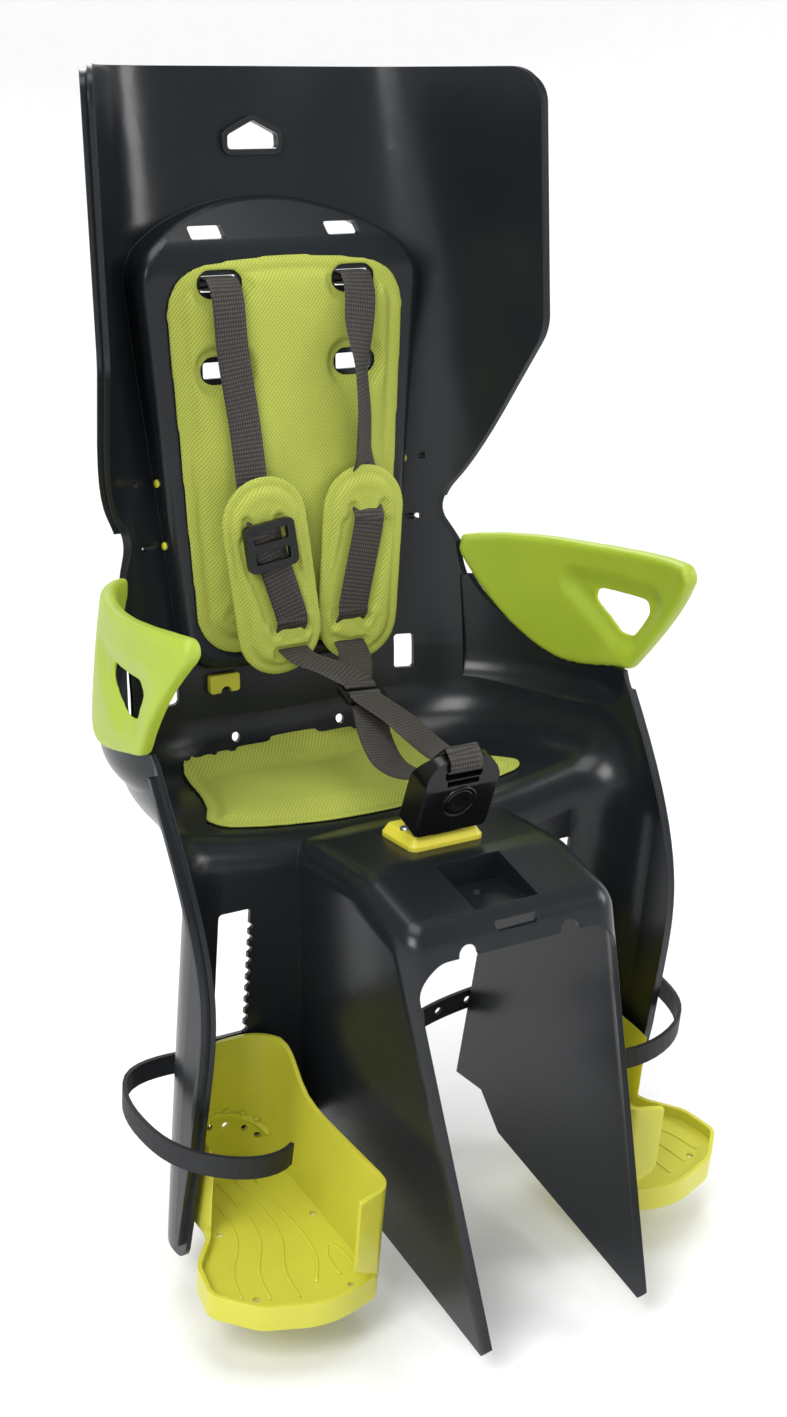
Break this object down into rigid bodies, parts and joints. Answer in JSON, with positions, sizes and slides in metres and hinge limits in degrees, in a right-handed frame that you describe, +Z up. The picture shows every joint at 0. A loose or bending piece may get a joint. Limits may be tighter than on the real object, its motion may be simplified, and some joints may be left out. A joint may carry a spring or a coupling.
{
  "type": "child bike seat",
  "caption": "Rear bicycle child seat: moulded bucket shell with head wings, spoke guards, armrest handles, harness, push-button buckle, pads and sliding footrests.",
  "frame": {"origin": "centre of the bolt hole in the floor of the bridge pocket, on the floor's top face", "axes": "+Z up along the bolt hole and the seat's height, +X to the child's left, the child faces -Y"},
  "size_m": [0.4364, 0.4425, 0.795],
  "materials": {
    "shell": "satin moulded",
    "handle": "soft matt",
    "pad_fabric": "woven mesh",
    "lime_trim": "satin",
    "webbing": "ribbed weave",
    "black_plastic": "satin",
    "steel": "plated",
    "base_plastic": "satin",
    "footrest": "satin moulded",
    "rubber": "matt"
  },
  "bodies": {
    "seat": {"seat_shell": "shell", "handle_left": "handle", "handle_right": "handle", "back_pad": "pad_fabric", "seat_pad": "pad_fabric", "shoulder_pad_left": "pad_fabric", "shoulder_pad_right": "pad_fabric", "pad_pegs": "lime_trim", "pad_clip": "lime_trim", "shoulder_strap_left": "webbing", "shoulder_strap_right": "webbing", "crotch_strap_left": "webbing", "crotch_strap_right": "webbing", "strap_adjuster": "black_plastic", "strap_slider": "black_plastic", "buckle_body": "black_plastic", "buckle_tongue": "black_plastic", "anchor_bar_left": "steel", "anchor_bar_right": "steel", "buckle_spring": "steel", "base_screws": "steel", "buckle_base": "base_plastic"},
    "footrest_left": {"footrest_left": "footrest", "footrest_lock_left": "black_plastic", "strap_stud_left": "black_plastic", "foot_strap_left": "rubber"},
    "footrest_right": {"footrest_right": "footrest", "footrest_lock_right": "black_plastic", "strap_stud_right": "black_plastic", "foot_strap_right": "rubber"},
    "button": {"buckle_button": "black_plastic", "buckle_latch": "black_plastic"}
  },
  "joints": [
    {"name": "footrest_left_height", "type": "slide", "parent": "seat", "child": "footrest_left", "axis": [0, -0.1464, 0.9892], "range_m": [-0.035, 0.085]},
    {"name": "footrest_right_height", "type": "slide", "parent": "seat", "child": "footrest_right", "axis": [0, -0.1464, 0.9892], "range_m": [-0.035, 0.085]},
    {"name": "buckle_press", "type": "slide", "parent": "seat", "child": "button", "axis": [0, 0.9166, 0.3999], "range_m": [0, 0.003], "stiffness_N_per_m": 800, "deforming": ["buckle_spring"]}
  ]
}
